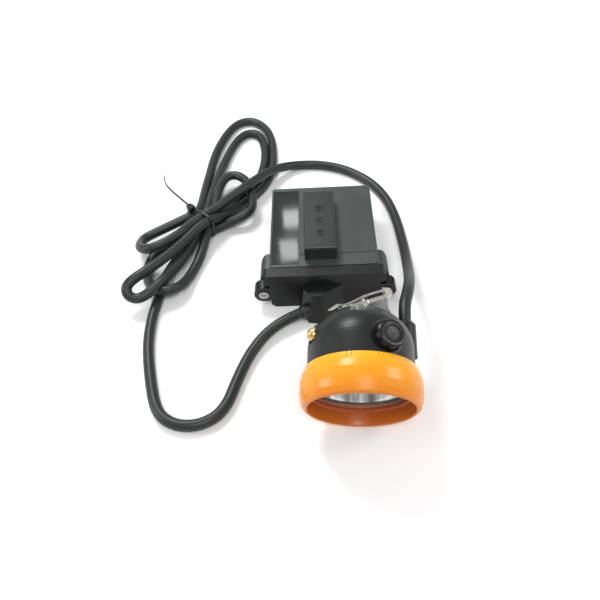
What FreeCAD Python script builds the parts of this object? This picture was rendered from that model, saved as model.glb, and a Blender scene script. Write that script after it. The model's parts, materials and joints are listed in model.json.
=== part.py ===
import FreeCAD, Part
import math
import os
import re

import Sketcher
from FreeCAD import Vector

# Corded LED miner's cap lamp: a belt battery lying belt-loop up, a lamp head in front of it,
# and one rubber cord that runs from the battery lid, through a tied hank, to the head.
#
# Row frame: +X across the battery, +Y away from the lamp head along the battery, +Z up.
# The origin is the middle of the battery's resting face, and the table is at Z = 0.
#
# Each group of pieces is drawn in a frame of its own:
#   battery  x across, y = 0 at the lid's end face and growing towards the closed end, z up
#   head     z along the beam, z = 0 at the bezel's front edge, y up, x to the right
#   knob     z radially out through the switch, y to the back of the head, z = 0 on the beam axis
#   charge   z out along the charging screw
#   clip     z out of the clip plate's back, x towards the open end, y up the plate
#   head_gland and lid_gland   z out along the cord

SIZES = [
    # Battery box
    ("battery_shift", 48),        # from the lid's end face to the middle of the box
    ("case_width", 75),
    ("case_height", 30),
    ("battery_length", 96),
    ("case_wall", 2.4),
    ("case_corner", 2.0),
    ("lid_depth", 8.4),
    ("gasket_gap", 0.8),
    ("lug_reach", 7),             # how far a screw lug stands out of the case's side
    ("lug_length", 20),
    ("lug_bottom", 3.5),
    ("lug_height", 20),
    ("ear_radius", 6.6),
    ("ear_offset", 42.2),
    ("ear_rise", 12.8),
    ("flare_width", 83),
    ("flare_height", 7.5),
    ("screw_shank", 1.9),
    ("screw_length", 16),
    ("screw_head", 3.4),
    ("screw_head_height", 2.2),
    ("insert_radius", 2.9),
    ("insert_length", 9),
    # Belt loop
    ("loop_left", -13),
    ("loop_width", 22),
    ("loop_start", 15),
    ("loop_length", 62),
    ("loop_height", 11),
    ("loop_bridge", 3.2),
    ("loop_post", 4.5),
    # Inset glossy cover plate
    ("plate_left", -36),
    ("plate_width", 19),
    ("plate_start", 11),
    ("plate_length", 80),
    ("plate_depth", 1.2),
    ("plate_thickness", 0.9),
    # Cells and battery electronics
    ("cell_radius", 9.2),
    ("cell_length", 65),
    ("cell_pitch", 19.2),
    ("cell_start", 21),
    ("cell_rise", 13.6),
    ("holder_thickness", 4),
    ("tab_thickness", 0.3),
    ("board_thickness", 1.6),
    # Cable nose on the lid
    ("nose_top", 20),
    ("nose_bottom", 1),
    ("nose_wall", 2.4),
    ("lid_gland_x", -14.4),
    ("lid_gland_y", -11.6),
    ("lid_gland_rise", 7),
    ("lid_gland_yaw", 206),
    # Cord
    ("cord_diameter", 7.4),
    ("gland_radius", 5.4),
    ("gland_proud", 2.6),
    ("gland_neck", 4.4),
    # Lamp head
    ("head_x", 16.8),
    ("head_y", -154.2),
    ("head_rise", 31.54),
    ("head_yaw", -3),
    ("head_tilt", 14.5),
    ("bezel_radius", 34.3),
    ("bezel_front", 31.2),
    ("bezel_mouth", 29.4),
    ("bezel_back", 31.7),
    ("bezel_depth", 22.6),
    ("bezel_bore", 30.7),
    ("lens_flange", 27.8),
    ("lens_radius", 30.2),
    ("lens_start", 10.4),
    ("lens_thickness", 2.8),
    ("seal_thickness", 1.6),
    ("head_radius", 30.4),
    ("head_wall", 2.4),
    ("dome_start", 35),
    ("dome_depth", 25.6),
    ("reflector_mouth", 26.6),
    ("reflector_depth", 24),
    ("reflector_base", 4),
    ("reflector_skin", 1.0),
    ("sink_radius", 16.5),
    ("sink_thickness", 3),
    ("driver_radius", 19),
    ("driver_depth", 47.6),
    # Switch
    ("knob_depth", 33),
    ("knob_angle", 27.5),
    ("knob_radius", 8.7),
    ("knob_height", 5.4),
    ("knob_base", 30.1),
    ("knob_boss", 10),
    ("boss_top", 29.8),
    ("grip_count", 10),
    ("spindle_radius", 2),
    ("spindle_fit", 0.06),
    ("cam_base", 4.6),
    ("cam_rise", 1.0),
    ("cam_level", 21.2),
    ("cam_thickness", 2.2),
    ("cam_gap", 0.15),
    ("plunger_radius", 1.1),
    # Charging contact
    ("charge_up", 12.5),
    ("charge_depth", 40),
    ("charge_seat", 25.6),
    ("charge_head", 3.8),
    # Helmet clip
    ("clip_x", 2.6),
    ("clip_y", 0.5),
    ("clip_depth", 64.7),
    ("clip_yaw", 197),
    ("clip_pitch", -10),
    ("clip_roll", 152),
    ("clip_length", 28),
    ("clip_width", 18),
    ("clip_thickness", 2.2),
    ("leaf_thickness", 0.7),
    ("leaf_gap", 2.6),
    # Cable entry of the head
    ("entry_x", 26.5),
    ("entry_y", -4),
    ("entry_depth", 53),
    ("entry_radius", 6.2),
    # Tied hank
    ("hank_height", 20),
    ("tie_x", -93.5),
    ("tie_y", 34),
    ("tie_heading", 50),
    ("tie_span", 25),
    ("tie_height", 22),
    ("tie_width", 2.8),
    ("tie_band", 1.1),
]
ALIASES = {name: value for name, value in SIZES}

document = FreeCAD.newDocument("cap_lamp")
sheet = document.addObject("Spreadsheet::Sheet", "Sizes")
for row, (alias, number) in enumerate(SIZES, start=1):
    sheet.set("A%d" % row, alias)
    sheet.set("B%d" % row, str(number))
    sheet.setAlias("B%d" % row, alias)
document.recompute()

PARTS = []


# ---------------------------------------------------------------- expressions and frames

def size(alias):
    """A driving dimension as the sheet holds it."""
    return float(sheet.get(alias))


def expand(text):
    """Names of driving dimensions become references to the sheet."""
    return re.sub(r"[a-z][a-z_]+", lambda word: "Sizes." + word.group(0)
                  if word.group(0) in ALIASES else word.group(0), str(text))


def number(text):
    """The value of an expression made of driving dimensions, plus, minus, times and over."""
    probe = document.addObject("App::FeaturePython", "probe")
    probe.addProperty("App::PropertyFloat", "Value")
    probe.setExpression("Value", expand(text))
    probe.recompute()
    value = probe.Value
    document.removeObject(probe.Name)
    return value


def frame(x, y, z, yaw="0", pitch="0", roll="0"):
    return "placement(vector(%s; %s; %s); rotation(%s; %s; %s))" % (x, y, z, yaw, pitch, roll)


BATTERY = frame("0", "-battery_shift", "0")
HEAD = frame("head_x", "head_y", "head_rise", "head_yaw", "0", "90 + head_tilt")
KNOB = HEAD + " * " + frame("0", "0", "-knob_depth", "-knob_angle", "0", "-90")
CHARGE = HEAD + " * " + frame("0", "charge_up", "-charge_depth", "0", "-90", "0")
CLIP = HEAD + " * " + frame("clip_x", "clip_y", "-clip_depth", "clip_yaw", "clip_pitch", "clip_roll")
HEAD_GLAND = HEAD + " * " + frame("entry_x", "entry_y", "-entry_depth", "0", "180", "0")
LID_GLAND = BATTERY + " * " + frame("lid_gland_x", "lid_gland_y", "lid_gland_rise", "lid_gland_yaw", "90")


def placement_of(text):
    """A frame's value, for the pieces that are shaped by Part functions."""
    probe = document.addObject("Part::Feature", "probe")
    probe.setExpression("Placement", expand(text))
    probe.recompute()
    value = FreeCAD.Placement(probe.Placement)
    document.removeObject(probe.Name)
    return value


def finish(label, piece, where):
    """Names a finished piece and puts it in the place that its frame gives."""
    piece.Label = label
    piece.setExpression("Placement", expand(where))
    PARTS.append(piece)
    return piece


# ---------------------------------------------------------------- primitives

def bind(piece, **sizes):
    for name, text in sizes.items():
        piece.setExpression(name, expand(text))
    return piece


def move(piece, x, y, z):
    for axis, text in zip("xyz", (x, y, z)):
        piece.setExpression("Placement.Base." + axis, expand(text))
    return piece


def block(name, length, width, height, x, y, z):
    piece = document.addObject("Part::Box", name)
    bind(piece, Length=length, Width=width, Height=height)
    return move(piece, x, y, z)


def rod(name, radius, height, x, y, z, along=Vector(0, 0, 1)):
    piece = document.addObject("Part::Cylinder", name)
    piece.Placement.Rotation = FreeCAD.Rotation(Vector(0, 0, 1), along)
    bind(piece, Radius=radius, Height=height)
    return move(piece, x, y, z)


def cone(name, start, end, height, x, y, z, along=Vector(0, 0, 1)):
    piece = document.addObject("Part::Cone", name)
    piece.Placement.Rotation = FreeCAD.Rotation(Vector(0, 0, 1), along)
    bind(piece, Radius1=start, Radius2=end, Height=height)
    return move(piece, x, y, z)


def fuse(name, *pieces):
    joined = document.addObject("Part::MultiFuse", name)
    joined.Shapes = list(pieces)
    joined.Refine = True
    return joined


def cut(name, base, *tools):
    result = document.addObject("Part::Cut", name)
    result.Base = base
    result.Tool = tools[0] if len(tools) == 1 else fuse(name + "_tools", *tools)
    result.Refine = True
    return result


def group(name, *pieces):
    """Identical or linked solids that share one node."""
    result = document.addObject("Part::Compound", name)
    result.Links = list(pieces)
    return result


def shaped(name, shape):
    piece = document.addObject("Part::Feature", name)
    piece.Shape = shape
    return piece


# ---------------------------------------------------------------- sketched bodies

def sketch_polygon(body, name, role, points):
    """A closed outline on one of the body's origin planes, each corner held by the sheet."""
    sketch = body.newObject("Sketcher::SketchObject", name)
    plane = [item for item in body.Origin.OriginFeatures if item.Role == role][0]
    sketch.AttachmentSupport = [(plane, "")]
    sketch.MapMode = "FlatFace"
    corners = [Vector(number(x), number(y), 0) for x, y in points]
    count = len(corners)
    for index in range(count):
        sketch.addGeometry(Part.LineSegment(corners[index], corners[(index + 1) % count]), False)
    for index in range(count):
        sketch.addConstraint(Sketcher.Constraint("Coincident", index, 2, (index + 1) % count, 1))
    for index, (x, y) in enumerate(points):
        for kind, text, value in (("DistanceX", x, corners[index].x), ("DistanceY", y, corners[index].y)):
            place = sketch.addConstraint(Sketcher.Constraint(kind, -1, 1, index, 1, value))
            sketch.setExpression("Constraints[%d]" % place, expand(text))
    return sketch


def turned(name, points):
    """A body of revolution about its own z axis, from (radius, z) corners."""
    body = document.addObject("PartDesign::Body", name)
    outline = sketch_polygon(body, name + "_outline", "XZ_Plane", points)
    feature = body.newObject("PartDesign::Revolution", name + "_turn")
    feature.Profile = outline
    feature.ReferenceAxis = (outline, ["V_Axis"])
    feature.Angle = 360
    return body


def extruded(name, role, points, length, backwards=False):
    """A body padded from a corner outline on an origin plane."""
    body = document.addObject("PartDesign::Body", name)
    outline = sketch_polygon(body, name + "_outline", role, points)
    feature = body.newObject("PartDesign::Pad", name + "_pad")
    feature.Profile = outline
    feature.Reversed = backwards
    feature.setExpression("Length", expand(length))
    return body


def edges_where(body, test):
    """Names of the edges of a body's last feature whose middle point passes the test."""
    names = []
    for index, edge in enumerate(body.Tip.Shape.Edges, start=1):
        middle = edge.valueAt((edge.FirstParameter + edge.LastParameter) / 2)
        if test(edge, middle):
            names.append("Edge%d" % index)
    return names


def rounded(body, radius, test, kind="PartDesign::Fillet"):
    """Rounds or bevels chosen edges of a body."""
    document.recompute()
    names = edges_where(body, test)
    if not names:
        raise ValueError("no edge to round on " + body.Name)
    base = body.Tip
    feature = body.newObject(kind, body.Name + "_edge")
    feature.Base = (base, names)
    if kind.endswith("Chamfer"):
        feature.setExpression("Size", expand(radius))
    else:
        feature.setExpression("Radius", expand(radius))
    document.recompute()
    return body


def ring_edge(level, radius, slack=0.05):
    """Test for a full circle about the z axis at a height and radius."""
    def test(edge, middle):
        return (abs(middle.z - level) < slack
                and abs(math.hypot(middle.x, middle.y) - radius) < slack
                and abs(edge.BoundBox.ZLength) < slack)
    return test


def along_y(edge, middle):
    return edge.BoundBox.YLength > 4 and edge.BoundBox.XLength < 0.01 and edge.BoundBox.ZLength < 0.01


# ---------------------------------------------------------------- battery box

def battery_case():
    """Deep box, open at the lid end, with a screw lug on each side and a recess for the plate."""
    start = "(lid_depth + gasket_gap)"
    half = "case_width / 2"
    outer = extruded("case_outer", "XY_Plane",
                     [("-" + half, start), (half, start),
                      (half, "battery_length"), ("-" + half, "battery_length")],
                     "case_height")
    rounded(outer, "case_corner",
            lambda edge, middle: edge.BoundBox.YLength < 0.01 and middle.y > size("battery_length") - 0.01
            or along_y(edge, middle))
    lugs = []
    for side, left in (("left", "-case_width / 2 - lug_reach"), ("right", "case_width / 2 - 1")):
        lug = block("lug_" + side, "lug_reach + 1", "lug_length", "lug_height",
                    left, start, "lug_bottom")
        lugs.append(lug)
    body = fuse("case_body", outer, *lugs)
    document.recompute()
    soft = document.addObject("Part::Fillet", "case_soft")
    soft.Base = body
    reach = size("case_width") / 2 + size("lug_reach")
    chosen = []
    for index, edge in enumerate(body.Shape.Edges, start=1):
        middle = edge.valueAt((edge.FirstParameter + edge.LastParameter) / 2)
        outside = abs(abs(middle.x) - reach) < 0.01
        if outside and (along_y(edge, middle) or middle.y > number(start) + 1):
            chosen.append((index, 5.5, 5.5))
    soft.Edges = chosen
    hollow = block("case_hollow", "case_width - 2 * case_wall", "battery_length - case_wall - " + start + " + 1",
                   "case_height - 2 * case_wall", "case_wall - case_width / 2", start + " - 1", "case_wall")
    recess = block("case_recess", "plate_width", "plate_length", "plate_depth + 1",
                   "plate_left", "plate_start", "case_height - plate_depth")
    inserts = [rod("insert_hole_" + side, "insert_radius", "insert_length + 1",
                   sign + "ear_offset", start + " - 1", "ear_rise", Vector(0, 1, 0))
               for side, sign in (("left", "-"), ("right", ""))]
    step = block("case_step", "case_width + 2", "0.6", "1", "-case_width / 2 - 1", "20.6", "case_height - 0.35")
    finish("battery_case", cut("case_cut", soft, hollow, recess, step, *inserts), BATTERY)


def belt_loop():
    """Bridge on the belt face: a 50 mm belt slides through it along x."""
    outer = extruded("loop_outer", "YZ_Plane",
                     [("loop_start", "case_height"), ("loop_start + loop_length", "case_height"),
                      ("loop_start + loop_length", "case_height + loop_height"),
                      ("loop_start", "case_height + loop_height")],
                     "loop_width")
    top = size("case_height") + size("loop_height")
    rounded(outer, "1.6", lambda edge, middle: abs(middle.z - top) < 0.01)
    slot = block("loop_slot", "loop_width + 2", "loop_length - 2 * loop_post", "loop_height - loop_bridge",
                 "-1", "loop_start + loop_post", "case_height")
    marks = []
    for place in (15, 28, 41):
        centre = ("loop_width / 2", "loop_start + %g" % place, "case_height + loop_height - 0.5")
        marks.append(cut("loop_groove", rod("loop_mark", "3", "0.7", *centre), rod("loop_land", "2.1", "0.7", *centre)))
        marks.append(rod("loop_dimple", "1.1", "0.7", *centre))
    finish("belt_loop", cut("loop_cut", outer, slot, *marks), BATTERY + " * " + frame("loop_left", "0", "0"))


def cover_plate():
    """Thin glossy plate that sits in the recess beside the belt loop."""
    body = extruded("plate_body", "XY_Plane",
                    [("0.25", "0.25"), ("plate_width - 0.25", "0.25"),
                     ("plate_width - 0.25", "plate_length - 0.25"), ("0.25", "plate_length - 0.25")],
                    "plate_thickness")
    rounded(body, "1.2", lambda edge, middle: edge.BoundBox.ZLength > 0.5)
    finish("cover_plate", body,
           BATTERY + " * " + frame("plate_left", "plate_start", "case_height - plate_depth"))


def lid_outline():
    """Corners of the lid's end view on the right of the middle, from the bottom up."""
    half = "case_width / 2"
    return [(half + " - 3", "0"), (half, "3"), (half, "ear_rise - 5"),
            (half, "case_height - flare_height - 2"), ("flare_width / 2", "case_height - flare_height"),
            ("flare_width / 2", "case_height - 2"), ("flare_width / 2 - 2", "case_height")]


def battery_lid():
    """End cap with two screw ears and a hollow nose that brings the cord out sideways."""
    right = lid_outline()
    left = [("-(" + x + ")", z) for x, z in reversed(right)]
    plate = extruded("lid_plate", "XZ_Plane", right + left, "lid_depth", True)
    ears = [rod("lid_ear_" + side, "ear_radius", "lid_depth", sign + "ear_offset", "0", "ear_rise",
                Vector(0, 1, 0)) for side, sign in (("left", "-"), ("right", ""))]
    webs = [block("lid_web_" + side, "ear_offset - case_width / 2 + 1", "lid_depth", "2 * ear_radius - 1",
                  x, "0", "ear_rise - ear_radius + 0.5")
            for side, x in (("left", "-ear_offset"), ("right", "case_width / 2 - 1"))]
    top = size("nose_top")
    low = size("nose_bottom")
    bottom_corners = [(-15, 1, low), (-17.2, -5.5, low), (-12, -16.4, low), (0, -18.6, low), (15, 1, low)]
    top_corners = [(-14, 1, top), (-14.6, -3.4, top), (-9, -9.4, top), (-3.5, -9.6, top), (13.6, 1, top)]
    nose = shaped("lid_nose", loft(bottom_corners, top_corners))
    wall = size("nose_wall")
    inner_bottom = [(-12.2, 4, low + wall), (-13.6, -5.6, low + wall), (-9.6, -13.8, low + wall),
                    (-1, -15.6, low + wall), (10.5, 4, low + wall)]
    inner_top = [(-11, 4, top - wall), (-11.4, -3, top - wall), (-7.6, -7, top - wall),
                 (-4.4, -7.1, top - wall), (9, 4, top - wall)]
    nose_hollow = shaped("nose_hollow", loft(inner_bottom, inner_top))
    wire_way = block("wire_way", "16", "lid_depth + 2", "nose_top - 2 * nose_wall", "-9", "-1", "nose_wall + 1")
    yaw = math.radians(size("lid_gland_yaw"))
    outlet = rod("lid_outlet", "gland_neck + 0.1", "16",
                 "lid_gland_x - %.6f * 10" % math.cos(yaw), "lid_gland_y - %.6f * 10" % math.sin(yaw),
                 "lid_gland_rise", Vector(math.cos(yaw), math.sin(yaw), 0))
    outlet_seat = rod("lid_outlet_seat", "gland_radius + 0.4", "20", "lid_gland_x", "lid_gland_y",
                      "lid_gland_rise", Vector(math.cos(yaw), math.sin(yaw), 0))
    holes = [rod("ear_hole_" + side, "screw_shank + 0.3", "lid_depth + 2", sign + "ear_offset", "-1",
                 "ear_rise", Vector(0, 1, 0)) for side, sign in (("left", "-"), ("right", ""))]
    seats = [rod("ear_seat_" + side, "screw_head + 0.4", "2", sign + "ear_offset", "-0.6",
                 "ear_rise", Vector(0, 1, 0)) for side, sign in (("left", "-"), ("right", ""))]
    body = fuse("lid_body", plate, nose, *(ears + webs))
    finish("battery_lid", cut("lid_cut", body, nose_hollow, wire_way, outlet, outlet_seat, *(holes + seats)),
           BATTERY)


def loft(lower, upper):
    """Closed solid between two flat outlines with the same number of corners."""
    wires = []
    for corners in (lower, upper):
        points = [Vector(*corner) for corner in corners]
        wires.append(Part.makePolygon(points + [points[0]]))
    return Part.makeLoft(wires, True, True)


def lid_gasket():
    outer = block("gasket_outer", "case_width - 1.6", "gasket_gap", "case_height - 1.6",
                  "0.8 - case_width / 2", "lid_depth", "0.8")
    inner = block("gasket_inner", "case_width - 2 * case_wall - 1", "gasket_gap + 2",
                  "case_height - 2 * case_wall - 1", "case_wall - case_width / 2 + 0.5",
                  "lid_depth - 1", "case_wall + 0.5")
    finish("lid_gasket", cut("gasket_cut", outer, inner), BATTERY)


def lid_screws():
    """Two pan-head screws through the lid's ears, each with a cross recess."""
    screws = []
    for side, sign in (("left", "-"), ("right", "")):
        shank = rod("lid_shank_" + side, "screw_shank", "screw_length", sign + "ear_offset", "1.4",
                    "ear_rise", Vector(0, 1, 0))
        head = rod("lid_head_" + side, "screw_head", "screw_head_height", sign + "ear_offset",
                   "1.4 - screw_head_height", "ear_rise", Vector(0, 1, 0))
        bars = [block("recess_across_" + side, "3.6", "1.4", "0.8", sign + "ear_offset - 1.8",
                      "0.6 - screw_head_height", "ear_rise - 0.4"),
                block("recess_up_" + side, "0.8", "1.4", "3.6", sign + "ear_offset - 0.4",
                      "0.6 - screw_head_height", "ear_rise - 1.8")]
        screws.append(cut("lid_screw_" + side, fuse("lid_screw_blank_" + side, shank, head), *bars))
    finish("lid_screws", group("lid_screw_pair", *screws), BATTERY)


def lid_inserts():
    """Brass inserts moulded into the case lugs."""
    sleeves = []
    for side, sign in (("left", "-"), ("right", "")):
        outer = rod("insert_" + side, "insert_radius", "insert_length", sign + "ear_offset",
                    "lid_depth + gasket_gap", "ear_rise", Vector(0, 1, 0))
        bore = rod("insert_bore_" + side, "screw_shank + 0.05", "insert_length + 2", sign + "ear_offset",
                   "lid_depth + gasket_gap - 1", "ear_rise", Vector(0, 1, 0))
        sleeves.append(cut("insert_cut_" + side, outer, bore))
    finish("lid_inserts", group("insert_pair", *sleeves), BATTERY)


CELL_ROWS = (-1, 0, 1)


def battery_cells():
    """Three lithium cells side by side, each with its raised positive button."""
    cells = []
    for row in CELL_ROWS:
        x = "%d * cell_pitch" % row
        can = rod("cell_can", "cell_radius", "cell_length", x, "cell_start", "cell_rise", Vector(0, 1, 0))
        button = rod("cell_button", "3", "0.8", x, "cell_start - 0.8", "cell_rise", Vector(0, 1, 0))
        cells.append(fuse("cell", can, button))
    finish("battery_cells", group("cell_row", *cells), BATTERY)


def cell_holders():
    """Two combs that keep the cells apart, one near each end."""
    combs = []
    for place in ("cell_start + 6", "cell_start + cell_length - 10"):
        bar = block("comb_bar", "3 * cell_pitch + 6", "holder_thickness", "24",
                    "-1.5 * cell_pitch - 3", place, "case_wall + 0.2")
        holes = [rod("comb_hole", "cell_radius + 0.15", "holder_thickness + 2", "%d * cell_pitch" % row,
                     place + " - 1", "cell_rise", Vector(0, 1, 0)) for row in CELL_ROWS]
        combs.append(cut("comb", bar, *holes))
    finish("cell_holders", group("comb_pair", *combs), BATTERY)


def cell_tabs():
    """Nickel strips that join the three cells in parallel at each end."""
    front = block("tab_front", "2 * cell_pitch + 8", "tab_thickness", "6",
                  "-cell_pitch - 4", "cell_start - 0.8 - tab_thickness", "cell_rise - 3")
    back = block("tab_back", "2 * cell_pitch + 8", "tab_thickness", "6",
                 "-cell_pitch - 4", "cell_start + cell_length", "cell_rise - 3")
    finish("cell_tabs", group("tab_pair", front, back), BATTERY)


def protection_board():
    """Upright circuit board between the lid and the cells, with its chips and fuse."""
    board = block("protect_board", "58", "board_thickness", "20", "-29", "14.5", "5")
    finish("protection_board", group("board_one", board), BATTERY)
    chips = []
    for index, (x, z, length, height) in enumerate(((-22, 8, 6, 5), (-12, 8, 6, 5), (-2, 8, 5, 4),
                                                   (8, 8, 9, 6), (-20, 17, 3, 4), (-12, 17, 3, 4))):
        chips.append(block("chip_%d" % index, length, "1.3", height, x, "14.5 + board_thickness", z))
    finish("board_chips", group("chip_set", *chips), BATTERY)


# ---------------------------------------------------------------- cord ends

def gland(label, where, depth):
    """Rubber grommet: a flange outside the wall, a neck through it and a tapered lip."""
    bore = "cord_diameter / 2 - 1.3"
    body = turned(label + "_body", [(bore, "-" + depth), ("gland_neck", "-" + depth), ("gland_neck", "0"),
                                    ("gland_radius", "0"), ("gland_radius", "1"),
                                    ("cord_diameter / 2 + 0.5", "gland_proud"), (bore, "gland_proud")])
    finish(label, body, where)


def core_leads():
    """Two insulated wires inside each grommet, bent towards the boards."""
    wire = 0.8
    lid = placement_of(LID_GLAND)
    for_battery = []
    for side in (-1, 1):
        start = lid.multVec(Vector(0, side * 1.05, size("gland_proud") - 0.3))
        inside = lid.multVec(Vector(0, side * 1.05, -7))
        shift = -size("battery_shift")
        turn = Vector(-2 + 3 * side, -1 + shift, 8)
        end = Vector(-2 + 3 * side, 14.2 + shift, 8.6)
        for_battery.append(tube([start, inside, turn, end], 2 * wire))
    battery = shaped("battery_wires", Part.makeCompound(for_battery))
    battery.Label = "battery_leads"
    PARTS.append(battery)
    head = placement_of(HEAD)
    gate = placement_of(HEAD_GLAND)
    for_head = []
    for side in (-1, 1):
        start = gate.multVec(Vector(0, side * 1.05, size("gland_proud") - 0.3))
        inside = gate.multVec(Vector(0, side * 1.05, -7.5))
        turn = head.multVec(Vector(19.5, -4 + side * 1.4, -44.4))
        end = head.multVec(Vector(13.4, -4 + side * 1.6, 0.9 - size("driver_depth")))
        for_head.append(tube([start, inside, turn, end], 2 * wire))
    inner = shaped("head_wires", Part.makeCompound(for_head))
    inner.Label = "head_leads"
    PARTS.append(inner)


def cord_clamp():
    """Saddle that grips the cord's cores inside the nose, on two small screws."""
    saddle = cut("clamp_saddle", block("clamp_block", "4.6", "10", "2.6", "-8", "-6", "13.4"),
                 rod("clamp_hole_low", "1.1", "5", "-5.7", "-4.2", "12.5"),
                 rod("clamp_hole_high", "1.1", "5", "-5.7", "2.2", "12.5"))
    finish("cord_clamp", saddle, BATTERY)
    screws = [fuse("clamp_screw", rod("clamp_shank", "1", "4", "-5.7", y, "12.6"),
                   rod("clamp_cap", "1.9", "1", "-5.7", y, "12.4")) for y in ("-4.2", "2.2")]
    finish("clamp_screws", group("clamp_screw_pair", *screws), BATTERY)


def tube(points, diameter):
    """Solid tube along straight runs joined by tangent arcs, its ends square to its path."""
    wire, radii = route(points)
    start = points[0]
    heading = points[1] - points[0]
    section = Part.Wire([Part.makeCircle(diameter / 2, start, heading)])
    solid = wire.makePipeShell([section], True, False)
    expected = wire.Length * math.pi * diameter ** 2 / 4
    if not solid.isValid() or abs(solid.Volume - expected) > 0.01 * expected:
        raise ValueError("tube volume %.1f, expected %.1f" % (solid.Volume, expected))
    return solid


def route(points):
    """The path of a cord: each corner is an arc of 0.45 of its shorter run, over half the turn."""
    edges = []
    radii = []
    last = points[0]
    for before, corner, after in zip(points, points[1:], points[2:]):
        incoming = corner - before
        outgoing = after - corner
        reach = 0.45 * min(incoming.Length, outgoing.Length)
        turn = incoming.getAngle(outgoing)
        radii.append(reach / math.tan(turn / 2))
        incoming.normalize()
        outgoing.normalize()
        start = corner - incoming * reach
        end = corner + outgoing * reach
        inward = outgoing - incoming
        inward.normalize()
        height = radii[-1] / math.cos(turn / 2) - radii[-1]
        middle = corner + inward * height
        edges.append(Part.LineSegment(last, start).toShape())
        edges.append(Part.Arc(start, middle, end).toShape())
        last = end
    edges.append(Part.LineSegment(last, points[-1]).toShape())
    return Part.Wire(edges), radii


# ---------------------------------------------------------------- lamp head

def bezel_ring():
    """Threaded-on front ring: bulging outside, with a deep mouth in front of the lens."""
    body = turned("bezel_body", [
        ("bezel_mouth + 0.4", "-0.5"), ("bezel_front - 0.6", "0"), ("bezel_front + 1.4", "-1.4"),
        ("bezel_radius - 0.7", "-4"), ("bezel_radius", "-8"), ("bezel_radius", "-14"),
        ("bezel_radius - 0.8", "-18"), ("bezel_back + 0.4", "-21.4"), ("bezel_back", "-bezel_depth"),
        ("bezel_bore", "-bezel_depth"), ("bezel_bore", "-lens_start"), ("lens_flange", "-lens_start"),
        ("lens_flange", "-9"), ("bezel_mouth - 0.6", "-8"), ("bezel_mouth", "-3")])
    notches = []
    for index in range(12):
        for offset in (-2.2, 2.2):
            angle = math.radians(index * 30 + 12 + offset)
            notch = block("bezel_notch", "4", "0.5", "3", "0", "-0.25", "-bezel_depth - 0.5")
            notch.Placement.Rotation = FreeCAD.Rotation(Vector(0, 0, 1), math.degrees(angle))
            move(notch, "(bezel_back - 0.2) * %.6f" % math.cos(angle),
                 "(bezel_back - 0.2) * %.6f" % math.sin(angle), "-bezel_depth - 0.5")
            notches.append(notch)
    finish("bezel_ring", cut("bezel_cut", body, *notches), HEAD)


def lens():
    body = turned("lens_body", [("0", "-lens_start"), ("lens_radius", "-lens_start"),
                                ("lens_radius", "-lens_start - lens_thickness"),
                                ("0", "-lens_start - lens_thickness")])
    rounded(body, "0.4", ring_edge(-size("lens_start"), size("lens_radius")), "PartDesign::Chamfer")
    finish("lens", body, HEAD)


def lens_seal():
    top = "-lens_start - lens_thickness"
    finish("lens_seal", turned("seal_body", [("lens_flange", top), ("lens_radius", top),
                                             ("lens_radius", top + " - seal_thickness"),
                                             ("lens_flange", top + " - seal_thickness")]), HEAD)


def reflector():
    """Parabolic cup whose mouth flange sits behind the lens."""
    mouth = size("reflector_mouth")
    base = size("reflector_base")
    depth = size("reflector_depth")
    front = "-lens_start - lens_thickness"
    steps = 8
    inner = []
    outer = []
    for step in range(steps + 1):
        radius = mouth + (base - mouth) * step / steps
        share = (mouth ** 2 - radius ** 2) / (mouth ** 2 - base ** 2)
        inner.append(("%.4f" % radius, front + " - 0.3 - reflector_depth * %.5f" % share))
        outer.append(("%.4f + reflector_skin" % radius,
                      front + " - 0.3 - reflector_depth * %.5f - 0.2" % share))
    outer[0] = ("reflector_mouth + 0.9", front + " - 1.5")
    flange = [("reflector_mouth + 0.9", front + " - 0.3")]
    outer[-1] = ("reflector_base + reflector_skin", front + " - 0.3 - reflector_depth")
    finish("reflector", turned("reflector_body", inner + list(reversed(outer)) + flange), HEAD)


def led_depth():
    return "(lens_start + lens_thickness + 0.3 + reflector_depth)"


def light_engine():
    """The emitter on its star board, screwed to an aluminium heat sink."""
    level = "-" + led_depth()
    chip = turned("led_body", [("0", level + " - 1.4"), ("2.2", level + " - 1.4"), ("2.2", level),
                               ("1.9", level + " + 0.8"), ("1.3", level + " + 1.5"), ("0.6", level + " + 1.9"),
                               ("0", level + " + 2")])
    finish("main_led", chip, HEAD)
    board = turned("star_body", [("0", level + " - 1.4"), ("10", level + " - 1.4"),
                                 ("10", level + " - 2.9"), ("0", level + " - 2.9")])
    holes = [rod("star_hole", "1.6", "4", "7 * %.5f" % math.cos(turn), "7 * %.5f" % math.sin(turn),
                 level + " - 3") for turn in (0, math.pi)]
    finish("led_board", cut("star_cut", board, *holes), HEAD)
    sink = turned("sink_body", [("0", level + " - 2.9"), ("sink_radius", level + " - 2.9"),
                                ("sink_radius", level + " - 2.9 - sink_thickness"),
                                ("0", level + " - 2.9 - sink_thickness")])
    taps = [rod("sink_hole", "1.1", "8", "7 * %.5f" % math.cos(turn), "7 * %.5f" % math.sin(turn),
                level + " - 8") for turn in (0, math.pi)]
    finish("heat_sink", cut("sink_cut", sink, *taps), HEAD)
    screws = [fuse("star_screw", rod("star_shank", "1", "4.4", "7 * %.5f" % math.cos(turn),
                                     "7 * %.5f" % math.sin(turn), level + " - 5.6"),
                   rod("star_cap", "2", "1", "7 * %.5f" % math.cos(turn),
                       "7 * %.5f" % math.sin(turn), level + " - 1.4")) for turn in (0, math.pi)]
    finish("led_screws", group("star_screw_pair", *screws), HEAD)


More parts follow.
